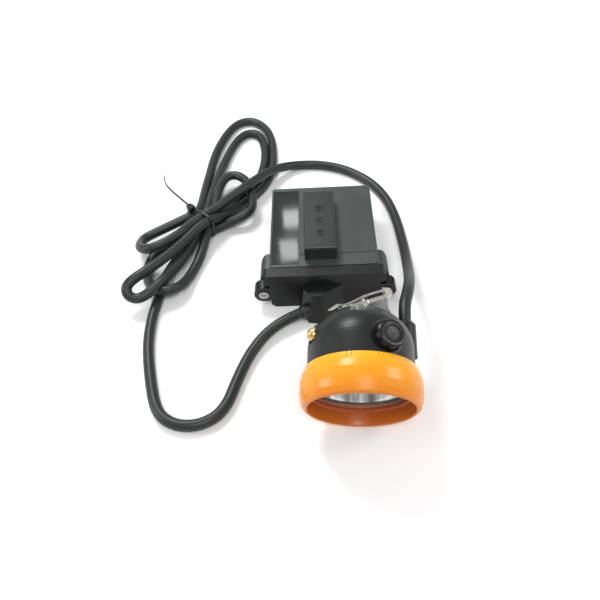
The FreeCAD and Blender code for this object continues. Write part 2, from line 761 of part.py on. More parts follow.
def driver_board():
    """Round board behind the heat sink that carries the switch and the charging parts."""
    board = turned("driver_body", [("0", "-driver_depth"), ("driver_radius", "-driver_depth"),
                                   ("driver_radius", "-driver_depth - board_thickness"),
                                   ("0", "-driver_depth - board_thickness")])
    finish("driver_board", board, HEAD)
    parts = [rod("coil_part", "3", "3", "-8", "-6", "-driver_depth - board_thickness - 3"),
             block("driver_chip", "5", "4", "1.4", "-2", "-4", "-driver_depth - board_thickness - 1.4"),
             block("charge_chip", "4", "4", "1.4", "4", "3", "-driver_depth - board_thickness - 1.4")]
    finish("driver_parts", group("driver_set", *parts), HEAD)


def shell_profile(shrink, front):
    """(radius, z) corners of the head's shell, made smaller by a wall thickness."""
    radius = size("head_radius") - shrink
    depth = size("dome_depth") - shrink
    corners = [("0", front), ("head_radius - %g" % shrink, front)]
    steps = 20
    for step in range(steps + 1):
        angle = math.pi / 2 * step / steps
        corners.append(("%.4f" % (radius * math.cos(angle)), "-dome_start - %.4f" % (depth * math.sin(angle))))
    corners[-1] = ("0", "-dome_start - %.4f" % depth)
    return corners


def head_housing():
    """Domed shell with a wedge-shaped neck for the clip and bosses for switch, contact and cord."""
    front = "-lens_start - lens_thickness - seal_thickness"
    dome = turned("dome_body", shell_profile(0, front))
    head = placement_of(HEAD)
    clip = head.inverse().multiply(placement_of(CLIP))
    half_length = size("clip_length") / 2 - 1
    half_width = size("clip_width") / 2
    at_plate = [clip.multVec(Vector(x, y, 0)) for x, y in
                ((-half_length, -half_width), (half_length, -half_width),
                 (half_length, half_width), (-half_length, half_width))]
    at_dome = [Vector(21, -17, -40), Vector(-21, -17, -40), Vector(-21, 15, -40), Vector(21, 19, -40)]
    neck = shaped("neck_body", neck_solid(at_plate, at_dome))
    boss = shaped("knob_boss_body", Part.makeCylinder(size("knob_boss"), size("boss_top") - 18,
                                                      Vector(0, 0, 18)))
    boss.Placement = head.inverse().multiply(placement_of(KNOB))
    entry = rod("entry_body", "entry_radius", "20", "entry_x", "entry_y", "-entry_depth")
    contact = rod("contact_body", "5.4", "9", "-charge_seat", "charge_up", "-charge_depth", Vector(1, 0, 0))
    outer = fuse("shell_outer", dome, neck, boss, entry, contact)
    hollow = turned("dome_hollow", shell_profile(size("head_wall"), front + " + 1"))
    knob_inside = shaped("boss_hollow", Part.makeCylinder(6.2, 8, Vector(0, 0, 19)))
    knob_inside.Placement = head.inverse().multiply(placement_of(KNOB))
    knob_bore = shaped("knob_bore", Part.makeCylinder(size("spindle_radius") + size("spindle_fit"), 20,
                                                      Vector(0, 0, 20)))
    knob_bore.Placement = head.inverse().multiply(placement_of(KNOB))
    entry_bore = rod("entry_bore", "gland_neck + 0.1", "14", "entry_x", "entry_y", "-entry_depth - 1")
    entry_way = rod("entry_way", "3.4", "13", "entry_x", "entry_y", "-entry_depth + 8", Vector(-1, 0, 0))
    entry_seat = rod("entry_seat", "gland_radius + 0.4", "20", "entry_x", "entry_y", "-entry_depth - 20")
    contact_bore = rod("contact_bore", "1.7", "22", "-charge_seat - 1", "charge_up", "-charge_depth",
                       Vector(1, 0, 0))
    contact_seat = rod("contact_seat", "5.6", "12", "-charge_seat", "charge_up", "-charge_depth",
                       Vector(-1, 0, 0))
    knob_seat = shaped("knob_seat", Part.makeCylinder(size("knob_radius") + 0.5, 12,
                                                      Vector(0, 0, size("boss_top"))))
    knob_seat.Placement = head.inverse().multiply(placement_of(KNOB))
    corner = Vector(-3.35, size("cam_base") + size("cam_rise") + 2.3, size("cam_level") - 2.15)
    reach = size("driver_depth") - size("knob_depth") - corner.y + 0.15
    switch_pocket = shaped("switch_pocket", Part.makeBox(6.7, reach, 4.9, corner))
    switch_pocket.Placement = head.inverse().multiply(placement_of(KNOB))
    clip_bore = shaped("clip_bore", Part.makeCylinder(1.7, 12, Vector(0, 0, -11)))
    clip_face = shaped("clip_face", Part.makeBox(44, 34, 16, Vector(-22, -17, 0)))
    tab_notch = shaped("tab_notch", Part.makeBox(8.8, 20, 8, Vector(-4.4, half_width - 0.05, -3.7)))
    for tool in (clip_bore, clip_face, tab_notch):
        tool.Placement = clip
    finish("head_housing", cut("shell_cut", outer, hollow, knob_inside, knob_bore, entry_bore, entry_way,
                               contact_bore, entry_seat, contact_seat, knob_seat, switch_pocket, clip_bore,
                               clip_face, tab_notch), HEAD)


def neck_solid(back, front):
    """Wedge between the clip plate's outline and a wider outline inside the dome."""
    wires = []
    ordered = [back[1], back[0], back[3], back[2]]
    for corners in (front, ordered):
        wires.append(Part.makePolygon(list(corners) + [corners[0]]))
    return Part.makeLoft(wires, True, True)


# ---------------------------------------------------------------- switch

def switch_knob():
    """Rotary knob with finger flutes round its rim, a rounded edge and a shallow dished face."""
    body = turned("knob_body", [("0", "knob_base"), ("knob_radius", "knob_base"),
                                ("knob_radius", "knob_base + knob_height - 2.2"),
                                ("knob_radius - 0.3", "knob_base + knob_height - 1.2"),
                                ("knob_radius - 0.9", "knob_base + knob_height - 0.5"),
                                ("knob_radius - 1.8", "knob_base + knob_height - 0.1"),
                                ("knob_radius - 2.6", "knob_base + knob_height"),
                                ("knob_radius - 3.6", "knob_base + knob_height - 0.2"),
                                ("knob_radius - 5", "knob_base + knob_height - 0.6"),
                                ("0", "knob_base + knob_height - 0.7")])
    flutes = []
    count = int(size("grip_count"))
    for index in range(count):
        angle = 2 * math.pi * index / count
        flutes.append(rod("flute", "1.3", "knob_height + 2", "(knob_radius + 0.6) * %.6f" % math.cos(angle),
                          "(knob_radius + 0.6) * %.6f" % math.sin(angle), "knob_base - 1"))
    socket = rod("knob_socket", "spindle_radius + 0.02", "3.4", "0", "0", "knob_base - 1")
    finish("switch_knob", cut("knob_cut", body, socket, *flutes), KNOB)


def switch_spindle():
    """Shaft from the knob through the wall, with a collar that holds the seal."""
    body = turned("spindle_body", [("0", "cam_level"), ("spindle_radius", "cam_level"),
                                   ("spindle_radius", "knob_base + 2.3"), ("0", "knob_base + 2.3")])
    finish("switch_spindle", body, KNOB)


def switch_cam():
    """Snail cam: its radius grows evenly over the quarter turn that presses the plunger."""
    base = size("cam_base")
    rise = size("cam_rise")
    corners = []
    for step in range(-6, 22):
        turn = math.radians(5 * step)
        share = min(max(5 * step / 90.0, -0.15), 1.12)
        heading = math.pi / 2 - turn
        corners.append(Vector((base + rise * share) * math.cos(heading),
                              (base + rise * share) * math.sin(heading), size("cam_level")))
    low = base - 1
    for step in range(1, 12):
        heading = math.pi / 2 - math.radians(105 + step * 18.5)
        corners.append(Vector(low * math.cos(heading), low * math.sin(heading), size("cam_level")))
    outline = Part.Face(Part.makePolygon(corners + [corners[0]]))
    disc = outline.extrude(Vector(0, 0, size("cam_thickness")))
    bore = Part.makeCylinder(size("spindle_radius") + 0.01, 10, Vector(0, 0, size("cam_level") - 2))
    cam = shaped("cam_body", disc.cut(bore))
    finish("switch_cam", cam, KNOB)


def spindle_seal():
    """Square-section sealing ring on the spindle, under the wall."""
    level = "cam_level + cam_thickness + 0.4"
    finish("spindle_seal", turned("spindle_ring", [("spindle_radius + 0.01", level), ("3.6", level),
                                                   ("3.6", level + " + 1.5"),
                                                   ("spindle_radius + 0.01", level + " + 1.5")]), KNOB)


def micro_switch():
    """Switch on the driver board; the cam pushes its plunger."""
    level = "cam_level - 2"
    front = "cam_base + cam_rise + 2.4"
    back = "driver_depth - knob_depth"
    box = block("micro_box", "6.4", back + " - (" + front + ")", "4.6", "-3.2", front, level)
    way = rod("micro_way", "plunger_radius + 0.1", "5", "0", front + " - 1", "cam_level + 1.1",
              Vector(0, 1, 0))
    finish("micro_switch", cut("micro_cut", box, way), KNOB)
    pin = rod("plunger_pin", "plunger_radius", "4", "0", "cam_base + cam_gap + 0.8", "cam_level + 1.1",
              Vector(0, 1, 0))
    tip = cone("plunger_tip", "0.4", "plunger_radius", "0.8", "0", "cam_base + cam_gap",
               "cam_level + 1.1", Vector(0, 1, 0))
    finish("switch_plunger", fuse("plunger_all", pin, tip), KNOB)


# ---------------------------------------------------------------- charging contact

def charging_contact():
    """Domed brass screw through the shell's side, its washer outside and its nut inside."""
    seat = size("charge_seat")
    head = size("charge_head")
    crown = shaped("charge_crown", Part.makeSphere(head).common(
        Part.makeBox(2 * head, 2 * head, head, Vector(-head, -head, 0))))
    crown.Placement = FreeCAD.Placement(Vector(0, 0, seat + 1), FreeCAD.Rotation())
    shank = rod("charge_shank", "1.5", "15", "0", "0", "charge_seat - 13")
    slot = block("charge_slot", "9", "1", "2", "-4.5", "-0.5", "charge_seat + 1 + charge_head - 1")
    finish("charging_screw", cut("charge_cut", fuse("charge_all", crown, shank), slot), CHARGE)
    washer = cut("charge_ring", rod("washer_disc", "4.6", "1", "0", "0", "charge_seat"),
                 rod("washer_bore", "1.6", "4", "0", "0", "charge_seat - 1"))
    finish("charging_washer", washer, CHARGE)
    inside = "charge_seat - 9 - 2.6"
    hexagon = [Vector(3 * math.cos(math.pi * side / 3), 3 * math.sin(math.pi * side / 3), 0)
               for side in range(6)]
    nut = Part.Face(Part.makePolygon(hexagon + [hexagon[0]])).extrude(Vector(0, 0, 2.5))
    nut_body = shaped("nut_body", nut.cut(Part.makeCylinder(1.52, 6, Vector(0, 0, -2))))
    nut_body.setExpression("Placement.Base.z", expand(inside))
    finish("charging_nut", group("nut_one", nut_body), CHARGE)


# ---------------------------------------------------------------- helmet clip

def helmet_clip():
    """Steel plate folded back on itself at one end, on the neck's slanted back."""
    half = "clip_length / 2"
    plate = block("clip_plate", "clip_length", "clip_width", "clip_thickness",
                  "-" + half, "-clip_width / 2", "0")
    fold_outer = rod("clip_fold", "(2 * leaf_thickness + leaf_gap + clip_thickness) / 2 + 0.1", "clip_width",
                     "-" + half, "clip_width / 2",
                     "(clip_thickness + leaf_gap + 2 * leaf_thickness) / 2 + 0.1", Vector(0, -1, 0))
    fold_void = rod("clip_fold_void", "leaf_gap / 2", "clip_width + 2", "-" + half,
                    "clip_width / 2 + 1", "clip_thickness + leaf_gap / 2", Vector(0, -1, 0))
    trim = block("clip_trim", "20", "clip_width + 2", "20", "-" + half, "-clip_width / 2 - 1",
                 "clip_thickness")
    throat = block("clip_throat", "4", "clip_width + 2", "leaf_gap", "-" + half + " - 0.01",
                   "-clip_width / 2 - 1", "clip_thickness")
    curl = cut("clip_curl", fold_outer, fold_void, trim, throat)
    tab = block("clip_tab", "8", "1.4", "5.4", "-4", "clip_width / 2 - 0.01", "clip_thickness - 5.4")
    hole = rod("clip_hole", "1.75", "20", "0", "0", "-8")
    finish("helmet_clip", cut("clip_cut", fuse("clip_all", plate, curl, tab), hole), CLIP)
    screw = fuse("clip_screw_all", rod("clip_screw_shank", "1.5", "9.5", "0", "0", "-7"),
                 rod("clip_screw_cap", "3", "1.3", "0", "0", "clip_thickness"))
    finish("clip_screw", screw, CLIP)
    stud = fuse("tab_screw_all", rod("tab_screw_cap", "1.9", "1.3", "0", "clip_width / 2 + 1.4",
                                     "clip_thickness - 2.9", Vector(0, 1, 0)),
                rod("tab_screw_tip", "0.7", "0.6", "0", "clip_width / 2 + 2.6",
                    "clip_thickness - 2.9", Vector(0, 1, 0)))
    finish("tab_stud", stud, CLIP)


def clip_leaf():
    """Spring leaf over the plate: it grips the helmet's bracket and lifts as the bracket slides in."""
    start = -size("clip_length") / 2 + 0.5
    low = size("clip_thickness") + size("leaf_gap")
    thick = size("leaf_thickness")
    path = [(start, low), (-3, low), (6, low - 1.5), (11, low - 1.9), (14.5, low - 0.4), (20.5, low - 2.2)]
    upper = [(x, z + thick) for x, z in path]
    half = size("clip_width") / 2 - 2
    outline = [Vector(x, -half, z) for x, z in path + upper[::-1]]
    leaf = Part.Face(Part.makePolygon(outline + [outline[0]])).extrude(Vector(0, 2 * half, 0))
    root = Part.makeCylinder(thick / 2, 2 * half, Vector(start, -half, low + thick / 2), Vector(0, 1, 0))
    finish("clip_leaf", shaped("leaf_body", leaf.fuse(root)), CLIP)


# ---------------------------------------------------------------- cord and hank

def on_table():
    return size("cord_diameter") / 2 + 0.05


def cord_lower():
    """From the lid's grommet, round a wide bend on the table, to the hank."""
    gate = placement_of(LID_GLAND)
    rest = on_table()
    points = [gate.multVec(Vector(0, 0, size("gland_proud"))), gate.multVec(Vector(0, 0, 14))]
    points += [Vector(-40, -75, 5), Vector(-50, -90, rest), Vector(-57, -109, rest),
               Vector(-63.4, -133.3, rest), Vector(-76.3, -143.4, rest), Vector(-92.7, -143.8, rest),
               Vector(-106, -134.2, rest), Vector(-114, -108, rest), Vector(-120, -81, rest),
               Vector(-121, -56, rest), Vector(-118, -34, rest)]
    add_cord("cord_lower", points)


def cord_upper():
    """From the hank, behind the battery and down its right side, up to the head's grommet."""
    gate = placement_of(HEAD_GLAND)
    rest = on_table()
    points = [Vector(-44, 93, 13), Vector(-33, 106, 8), Vector(-18, 114, 4), Vector(2, 113, rest),
              Vector(23, 104, rest), Vector(42, 86, rest), Vector(54, 63, rest), Vector(59.5, 38, rest),
              Vector(61.5, 14, 4.6), Vector(61.3, -7, 8), Vector(60.3, -25, 13.8),
              Vector(58.4, -41, 21.5), Vector(55.8, -54.5, 30), Vector(52.8, -66.5, 38),
              Vector(49.5, -78.2, 43.2)]
    points += [gate.multVec(Vector(0, 0, 13.5)), gate.multVec(Vector(0, 0, size("gland_proud")))]
    add_cord("cord_upper", points)


def add_cord(label, points):
    solid = tube(points, size("cord_diameter"))
    wire, radii = route(points)
    print(label, "length %.1f" % wire.Length, "radii", " ".join("%.0f" % radius for radius in radii))
    piece = shaped(label + "_tube", solid)
    piece.Label = label
    PARTS.append(piece)


HANK_OUTLINE = [(-102, 60), (-101, 92), (-99, 128), (-94, 160), (-82, 186), (-67, 192), (-52, 186),
                (-42, 164), (-37, 134), (-37, 108), (-44, 84), (-52, 64), (-53, 46), (-66, 33), (-83, 24),
                (-88, 2), (-94, -24), (-106, -42), (-122, -46), (-138, -49), (-143, -40), (-136, -20),
                (-137, -4), (-143, 8), (-141, 24), (-124, 34), (-109, 44)]


def cord_hank():
    """Outer shape of the tied hank: one closed curve, as high as two layers of cord."""
    corners = [Vector(x, y, 0) for x, y in HANK_OUTLINE]
    curve = Part.BSplineCurve()
    curve.interpolate(corners, PeriodicFlag=True)
    base = Part.Face(Part.Wire([curve.toShape()]))
    hank = shaped("hank_body", base.extrude(Vector(0, 0, size("hank_height"))))
    hank.Label = "cord_hank"
    PARTS.append(hank)


def ribbon(corners, thickness, low, width):
    """Upright strip that follows a curve through plan points."""
    curve = Part.BSplineCurve()
    curve.interpolate([Vector(x, y, low) for x, y in corners])
    steps = 16
    sides = ([], [])
    for step in range(steps + 1):
        place = curve.FirstParameter + (curve.LastParameter - curve.FirstParameter) * step / steps
        along = curve.tangent(place)[0]
        across = Vector(-along.y, along.x, 0) * (thickness / 2)
        sides[0].append(curve.value(place) + across)
        sides[1].append(curve.value(place) - across)
    outline = sides[0] + sides[1][::-1]
    return Part.Face(Part.makePolygon(outline + [outline[0]])).extrude(Vector(0, 0, width))


TAIL = [(-102.6, 41.6), (-107.4, 47.6), (-115, 56.5), (-122.5, 66), (-126.8, 73), (-129.3, 80), (-130.2, 86)]


def cable_tie():
    """Nylon strap round the waist of the hank, with its lock block and its uncut tail."""
    span = size("tie_span")
    height = size("tie_height")
    band = size("tie_band")
    width = size("tie_width")
    outer = Part.makeBox(width, span + 2 * band, height + band, Vector(-width / 2, -span / 2 - band, 0))
    inner = Part.makeBox(width + 2, span, height - band, Vector(-width / 2 - 1, -span / 2, band))
    strap = outer.makeFillet(6, [edge for edge in outer.Edges if edge.BoundBox.XLength > width - 0.01
                                 and edge.BoundBox.ZMin > height / 2]).cut(inner)
    lock = Part.makeBox(5, 5.5, 4.4, Vector(-2.5, span / 2 - 3, height - 3.4))
    ring = strap.fuse(lock)
    ring.Placement = FreeCAD.Placement(Vector(size("tie_x"), size("tie_y"), 0),
                                       FreeCAD.Rotation(Vector(0, 0, 1), size("tie_heading")))
    tail = ribbon(TAIL, band, height - 3, width)
    piece = shaped("tie_body", ring.fuse(tail))
    piece.Label = "cable_tie"
    PARTS.append(piece)


# ---------------------------------------------------------------- build, check and write

def build_all():
    battery_case()
    belt_loop()
    cover_plate()
    battery_lid()
    lid_gasket()
    lid_screws()
    lid_inserts()
    battery_cells()
    cell_holders()
    cell_tabs()
    protection_board()
    gland("lid_gland", LID_GLAND, "4")
    cord_clamp()
    bezel_ring()
    lens()
    lens_seal()
    reflector()
    light_engine()
    driver_board()
    head_housing()
    switch_knob()
    switch_spindle()
    switch_cam()
    spindle_seal()
    micro_switch()
    charging_contact()
    helmet_clip()
    clip_leaf()
    gland("head_gland", HEAD_GLAND, "4")
    core_leads()
    cord_lower()
    cord_upper()
    cord_hank()
    cable_tie()


def check_document():
    for item in document.Objects:
        if "Invalid" in item.State or "Error" in item.State:
            raise ValueError("%s is %s" % (item.Label, item.State))
    for piece in PARTS:
        if piece.Shape.isNull() or not piece.Shape.isValid() or not piece.Shape.Solids:
            raise ValueError(piece.Label + " has no valid solid")


build_all()
document.recompute()
check_document()
os.makedirs("parts", exist_ok=True)
for piece in PARTS:
    piece.Shape.exportStep("parts/%s.step" % piece.Label)
print(len(PARTS), "parts written")
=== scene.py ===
import json
import math

import bmesh
import bpy
from mathutils import Euler, Matrix, Vector


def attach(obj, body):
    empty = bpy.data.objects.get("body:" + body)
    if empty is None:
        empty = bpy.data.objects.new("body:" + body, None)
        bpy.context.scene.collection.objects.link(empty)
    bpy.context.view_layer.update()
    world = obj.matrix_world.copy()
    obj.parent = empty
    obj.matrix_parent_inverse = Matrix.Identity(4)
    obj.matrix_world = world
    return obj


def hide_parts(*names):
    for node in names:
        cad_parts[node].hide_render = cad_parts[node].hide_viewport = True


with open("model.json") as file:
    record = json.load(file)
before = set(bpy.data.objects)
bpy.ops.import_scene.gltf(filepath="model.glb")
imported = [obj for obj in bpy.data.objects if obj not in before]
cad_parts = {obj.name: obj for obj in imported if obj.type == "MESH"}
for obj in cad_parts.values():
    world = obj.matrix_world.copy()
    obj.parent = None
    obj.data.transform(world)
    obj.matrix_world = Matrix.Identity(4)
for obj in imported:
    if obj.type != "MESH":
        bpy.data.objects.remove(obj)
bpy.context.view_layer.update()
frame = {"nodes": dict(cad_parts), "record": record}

NODES = frame["nodes"]
RECORD = frame["record"]
MM = 0.001

# ---------------------------------------------------------------- the lamp head's frame, in millimetres


def pose(x, y, z, yaw, pitch, roll):
    """Matrix of a local frame: a place, then turns about Z, Y and X."""
    turn = Euler((math.radians(roll), math.radians(pitch), math.radians(yaw)), "XYZ")
    return Matrix.Translation(Vector((x, y, z))) @ turn.to_matrix().to_4x4()


HEAD = pose(16.8, -154.2, 31.54, -3, 0, 104.5)
PAINTED_LIGHT_DEPTH = 23.5  # painted light: the bezel's colour lightens from its front edge back to here, pale amber at the rear rim
MOUTH_SHADE_INSIDE = 28.5  # up to this radius the bezel has painted shade, red-brown in its mouth
MOUTH_SHADE_OUTSIDE = 32.2  # and from this radius its outer face's colour

# ---------------------------------------------------------------- materials


class Paint:
    """Builds one node material; colours and bumps vary with the object's own coordinates."""

    def __init__(self, name, color, roughness, **sockets):
        self.material = bpy.data.materials.new(name)
        self.material.use_nodes = True
        self.tree = self.material.node_tree
        self.shader = self.tree.nodes["Principled BSDF"]
        self.coords = self.tree.nodes.new("ShaderNodeTexCoord")
        self.shader.inputs["Base Color"].default_value = (*color, 1)
        self.shader.inputs["Roughness"].default_value = roughness
        self.color = color
        for key, value in sockets.items():
            self.shader.inputs[key.replace("_", " ")].default_value = value

    def node(self, kind, **values):
        made = self.tree.nodes.new(kind)
        for key, value in values.items():
            setattr(made, key, value)
        return made

    def link(self, a, b):
        self.tree.links.new(a, b)

    def noise(self, scale, detail=3, stretch=(1, 1, 1)):
        mapping = self.node("ShaderNodeMapping")
        mapping.inputs["Scale"].default_value = stretch
        self.link(self.coords.outputs["Object"], mapping.inputs["Vector"])
        texture = self.node("ShaderNodeTexNoise")
        texture.inputs["Scale"].default_value = scale
        texture.inputs["Detail"].default_value = detail
        self.link(mapping.outputs["Vector"], texture.inputs["Vector"])
        return texture.outputs["Fac"]

    def ramp(self, factor, *stops):
        ramp = self.node("ShaderNodeValToRGB")
        elements = ramp.color_ramp.elements
        while len(elements) < len(stops):
            elements.new(0.5)
        for element, (place, color) in zip(elements, stops):
            element.position = place
            element.color = (*color, 1) if len(color) == 3 else color
        self.link(factor, ramp.inputs["Fac"])
        return ramp.outputs["Color"]

    def mottle(self, scale, amount, detail=4, stretch=(1, 1, 1)):
        """The base colour drifts a little lighter and darker."""
        low = [max(0, c * (1 - amount)) for c in self.color]
        high = [min(1, c * (1 + amount)) for c in self.color]
        color = self.ramp(self.noise(scale, detail, stretch), (0.3, low), (0.7, high))
        self.link(color, self.shader.inputs["Base Color"])
        return self

    def wear(self, scale, low, high, stretch=(1, 1, 1)):
        """Roughness runs from low to high in soft patches."""
        span = self.node("ShaderNodeMapRange")
        span.inputs["From Min"].default_value = 0.3
        span.inputs["From Max"].default_value = 0.7
        span.inputs["To Min"].default_value = low
        span.inputs["To Max"].default_value = high
        self.link(self.noise(scale, 4, stretch), span.inputs["Value"])
        self.link(span.outputs["Result"], self.shader.inputs["Roughness"])
        return self

    def grain(self, scale, strength, distance=0.0001, detail=2, stretch=(1, 1, 1)):
        """Fine surface relief."""
        bump = self.node("ShaderNodeBump")
        bump.inputs["Strength"].default_value = strength
        bump.inputs["Distance"].default_value = distance
        self.link(self.noise(scale, detail, stretch), bump.inputs["Height"])
        self.link(bump.outputs["Normal"], self.shader.inputs["Normal"])
        return self


def moulded(name, color, rough, grain=0.12, shine=0.5):
    """Black moulded plastic with a fine spark-eroded texture."""
    paint = Paint(name, color, rough, Specular_IOR_Level=shine)
    paint.mottle(60, 0.15)
    paint.wear(22, rough - 0.03, rough + 0.04)
    return paint.grain(1600, grain, 0.00006)


def metal(name, color, rough, brush=(1, 1, 1), grain=0.08):
    """Bare metal with faint brushing."""
    paint = Paint(name, color, rough, Metallic=1.0)
    paint.mottle(90, 0.12, stretch=brush)
    paint.wear(140, rough * 0.75, rough * 1.35, stretch=brush)
    return paint.grain(500, grain, 0.00005, stretch=brush)


def orange_plastic_painted_light():
    """Translucent orange with painted light and shade: painted light makes it pale amber at the rear
    rim, painted shade makes it red-brown deep in the mouth.
    """
    paint = Paint("bezel_orange_light_shade_paint", (1.0, 0.30, 0.012), 0.28)
    # painted light: lighter towards the rear rim and darker at the front edge, along the lamp's beam
    along = paint.node("ShaderNodeVectorMath", operation="DOT_PRODUCT")
    beam = HEAD.to_3x3() @ Vector((0, 0, 1))
    along.inputs[1].default_value = beam
    paint.link(paint.coords.outputs["Object"], along.inputs[0])
    span = paint.node("ShaderNodeMapRange")
    front = HEAD.translation.dot(beam) * MM
    span.inputs["From Min"].default_value = front - PAINTED_LIGHT_DEPTH * MM
    span.inputs["From Max"].default_value = front
    paint.link(along.outputs["Value"], span.inputs["Value"])
    painted_light_ramp = paint.ramp(span.outputs["Result"], (0.0, (1.0, 0.50, 0.016)), (0.18, (0.92, 0.39, 0.013)),
                         (0.6, (0.82, 0.31, 0.010)), (1.0, (0.72, 0.23, 0.008)))
    # painted shade: red-brown on the mouth's inner face, chosen by distance from the beam axis
    offset = paint.node("ShaderNodeVectorMath", operation="SUBTRACT")
    offset.inputs[1].default_value = HEAD.translation * MM
    paint.link(paint.coords.outputs["Object"], offset.inputs[0])
    round_axis = paint.node("ShaderNodeVectorMath", operation="CROSS_PRODUCT")
    round_axis.inputs[1].default_value = beam
    paint.link(offset.outputs["Vector"], round_axis.inputs[0])
    reach = paint.node("ShaderNodeVectorMath", operation="LENGTH")
    paint.link(round_axis.outputs["Vector"], reach.inputs[0])
    mouth_shade_mask = paint.node("ShaderNodeMapRange")
    mouth_shade_mask.inputs["From Min"].default_value = MOUTH_SHADE_INSIDE * MM
    mouth_shade_mask.inputs["From Max"].default_value = MOUTH_SHADE_OUTSIDE * MM
    paint.link(reach.outputs["Value"], mouth_shade_mask.inputs["Value"])
    painted_light_and_shade = paint.node("ShaderNodeMix", data_type="RGBA")
    paint.link(mouth_shade_mask.outputs["Result"], painted_light_and_shade.inputs[0])
    # the red-brown of the painted shade in the mouth
    painted_light_and_shade.inputs[6].default_value = (0.42, 0.075, 0.012, 1)
    paint.link(painted_light_ramp, painted_light_and_shade.inputs[7])
    drift = paint.node("ShaderNodeMix", data_type="RGBA", blend_type="MULTIPLY")
    drift.inputs[0].default_value = 1
    paint.link(painted_light_and_shade.outputs[2], drift.inputs[6])
    paint.link(paint.ramp(paint.noise(55), (0.3, (0.93, 0.9, 0.9)), (0.7, (1, 1, 1))), drift.inputs[7])
    paint.link(drift.outputs[2], paint.shader.inputs["Base Color"])
    sockets = paint.shader.inputs
    sockets["Subsurface Weight"].default_value = 0.25
    sockets["Subsurface Radius"].default_value = (0.004, 0.002, 0.0004)
    sockets["Specular IOR Level"].default_value = 0.4
    sockets["Subsurface Scale"].default_value = 1.0
    return paint.grain(300, 0.03, 0.0001)


def clear_plastic(name, tint):
    """Clear polished plastic; mostly see-through, by its alpha."""
    paint = Paint(name, tint, 0.03, Alpha=0.09, IOR=1.5)
    paint.mottle(30, 0.05)
    return paint.grain(60, 0.01, 0.0001)


def reflector_painted_reflections():
    """Aluminised reflector whose base colour carries painted reflections: dark, brownish, grey and
    silver streaks.
    """
    paint = Paint("reflector_painted_reflections", (0.80, 0.80, 0.78), 0.07, Metallic=1.0)
    # painted reflections: streaks of dark, brown, grey and silver in the base colour stand in for what
    # the cup reflects
    painted_reflection_streaks = paint.ramp(paint.noise(170, 2, (1, 0.12, 0.25)),
                      (0.40, (0.05, 0.05, 0.045)), (0.47, (0.30, 0.20, 0.14)),
                      (0.53, (0.42, 0.44, 0.42)), (0.62, (0.90, 0.91, 0.90)))
    paint.link(painted_reflection_streaks, paint.shader.inputs["Base Color"])
    paint.wear(60, 0.05, 0.14)
    return paint.grain(160, 0.05, 0.0002)


PAINTS = {
    "battery_shell": moulded("battery_shell_paint", (0.034, 0.046, 0.040), 0.38, 0.08, 0.6),
    "lid_black": moulded("lid_black_paint", (0.006, 0.007, 0.007), 0.36, 0.08, 0.35),
    "loop_black": moulded("loop_black_paint", (0.018, 0.022, 0.020), 0.30, 0.03),
    "plate_gloss": moulded("plate_gloss_paint", (0.010, 0.013, 0.012), 0.07, 0.01, 0.6),
    "head_black": moulded("head_black_paint", (0.007, 0.008, 0.008), 0.36, 0.05, 0.4),
    "knob_black": moulded("knob_black_paint", (0.006, 0.006, 0.007), 0.30, 0.04, 0.4),
    "bezel_orange": orange_plastic_painted_light(),
    "lens_clear": clear_plastic("lens_clear_paint", (0.9, 0.93, 0.95)),
    "seal_rubber": moulded("seal_rubber_paint", (0.012, 0.012, 0.012), 0.55),
    "reflector_chrome": reflector_painted_reflections(),
    "led_white": Paint("led_white_paint", (0.86, 0.80, 0.52), 0.35).mottle(900, 0.2),
    "board_green": Paint("board_green_paint", (0.02, 0.13, 0.05), 0.35).mottle(300, 0.3).grain(900, 0.1),
    "chip_black": moulded("chip_black_paint", (0.02, 0.02, 0.022), 0.45),
    "aluminium": metal("aluminium_paint", (0.72, 0.73, 0.74), 0.32),
    "steel": metal("steel_paint", (0.60, 0.58, 0.54), 0.27, (1, 1, 6), 0.04),
    "screw_steel": metal("screw_steel_paint", (0.34, 0.34, 0.33), 0.34),
    "brass": metal("brass_paint", (0.72, 0.50, 0.22), 0.24, grain=0.02),
    "cord_rubber": moulded("cord_rubber_paint", (0.013, 0.017, 0.015), 0.42, 0.08, 0.45),
    "cell_wrap": Paint("cell_wrap_paint", (0.03, 0.16, 0.30), 0.30).mottle(80, 0.15).grain(400, 0.05),
    "holder_plastic": moulded("holder_plastic_paint", (0.03, 0.03, 0.033), 0.45),
    "nickel": metal("nickel_paint", (0.72, 0.70, 0.64), 0.30),
    "copper_lead": Paint("copper_lead_paint", (0.42, 0.03, 0.02), 0.40).mottle(200, 0.2).grain(500, 0.1),
    "tie_nylon": moulded("tie_nylon_paint", (0.007, 0.007, 0.008), 0.24, 0.03),
}

for part in RECORD["subparts"]:
    node = NODES[part["node"]]
    paint = PAINTS[part["material_slot"]].material
    node.data.materials.clear()
    node.data.materials.append(paint)

# ---------------------------------------------------------------- helpers for new pieces


def keep(name, data, slot, body="root"):
    """Links a new piece, gives it its slot's paint and rides it on its body."""
    piece = bpy.data.objects.new(name, data)
    bpy.context.scene.collection.objects.link(piece)
    data.materials.append(PAINTS[slot].material)
    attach(piece, body)
    return piece


def mesh_of(build, name):
    """Mesh filled by build(bm), with smooth shading."""
    bm = bmesh.new()
    build(bm)
    bmesh.ops.recalc_face_normals(bm, faces=bm.faces)
    mesh = bpy.data.meshes.new(name)
    bm.to_mesh(mesh)
    bm.free()
    mesh.shade_smooth()
    return mesh


# ---------------------------------------------------------------- cord, its hank and its tie

CORD_DIAMETER = 7.4
REST = 3.8  # height of the cord's centre where it lies on the table

